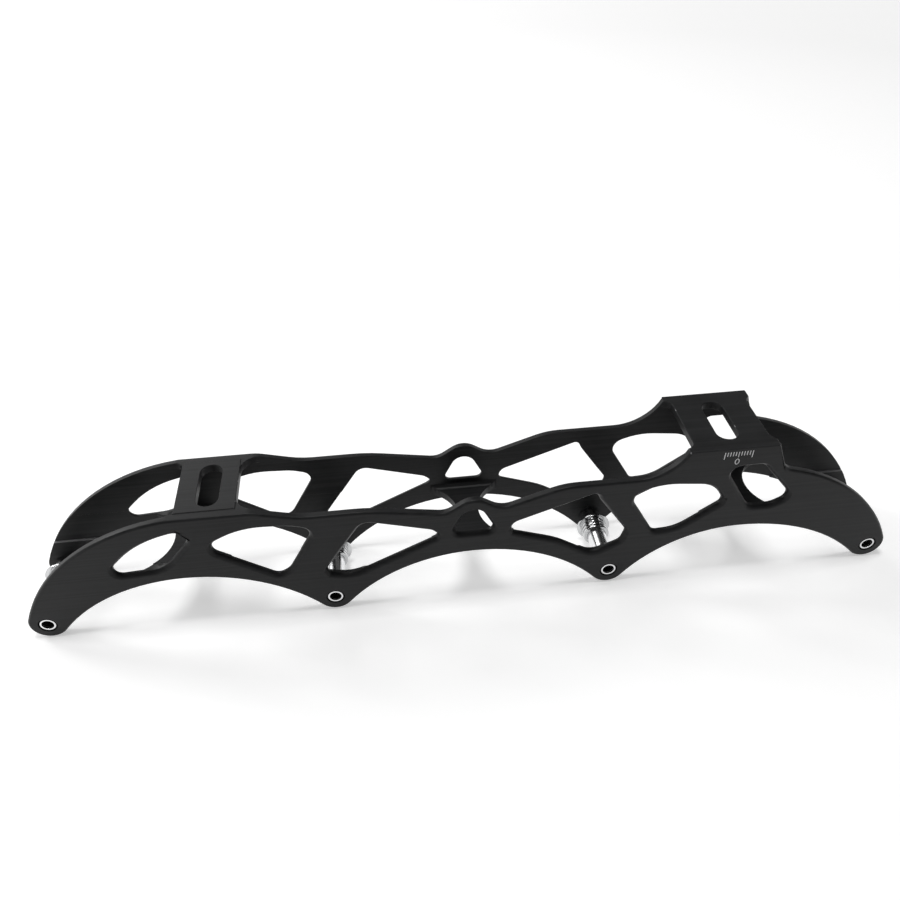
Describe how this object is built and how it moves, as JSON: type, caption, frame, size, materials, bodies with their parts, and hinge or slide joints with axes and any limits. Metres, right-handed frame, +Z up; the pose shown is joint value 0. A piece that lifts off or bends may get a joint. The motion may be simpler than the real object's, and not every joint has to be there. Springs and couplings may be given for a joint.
{
  "type": "inline skate frame",
  "caption": "Black machined aluminium inline skate frame with windowed side walls, wheel arches, slotted toe and heel plates, screw axles and loose spacers.",
  "frame": {"origin": "on the floor under the middle of the frame, halfway between the second and third axles", "axes": "+X from toe to heel, +Y to the wall that takes the axle heads, +Z up"},
  "size_m": [0.2974, 0.03, 0.0572],
  "materials": {
    "black_anodised": "black anodised, satin",
    "axle_steel": "plated steel",
    "spacer_aluminium": "turned, bright"
  },
  "bodies": {
    "frame": {"frame": "black_anodised"},
    "axle_1": {"axle_1": "axle_steel"},
    "axle_2": {"axle_2": "axle_steel"},
    "axle_3": {"axle_3": "axle_steel"},
    "axle_4": {"axle_4": "axle_steel"},
    "spacer_1": {"spacer_1": "spacer_aluminium"},
    "spacer_2": {"spacer_2": "spacer_aluminium"},
    "spacer_3": {"spacer_3": "spacer_aluminium"},
    "spacer_4": {"spacer_4": "spacer_aluminium"}
  },
  "joints": [
    {"name": "axle_1_withdraw", "type": "slide", "parent": "frame", "child": "axle_1", "axis": [0, 1, 0], "range_m": [0, 0.033]},
    {"name": "axle_2_withdraw", "type": "slide", "parent": "frame", "child": "axle_2", "axis": [0, 1, 0], "range_m": [0, 0.033]},
    {"name": "axle_3_withdraw", "type": "slide", "parent": "frame", "child": "axle_3", "axis": [0, 1, 0], "range_m": [0, 0.033]},
    {"name": "axle_4_withdraw", "type": "slide", "parent": "frame", "child": "axle_4", "axis": [0, 1, 0], "range_m": [0, 0.033]},
    {"name": "spacer_1_slide", "type": "slide", "parent": "frame", "child": "spacer_1", "axis": [0, -1, 0], "range_m": [0, 0.0137]},
    {"name": "spacer_2_slide", "type": "slide", "parent": "frame", "child": "spacer_2", "axis": [0, -1, 0], "range_m": [0, 0.0137]},
    {"name": "spacer_3_slide", "type": "slide", "parent": "frame", "child": "spacer_3", "axis": [0, -1, 0], "range_m": [0, 0.0137]},
    {"name": "spacer_4_slide", "type": "slide", "parent": "frame", "child": "spacer_4", "axis": [0, -1, 0], "range_m": [0, 0.0137]}
  ]
}
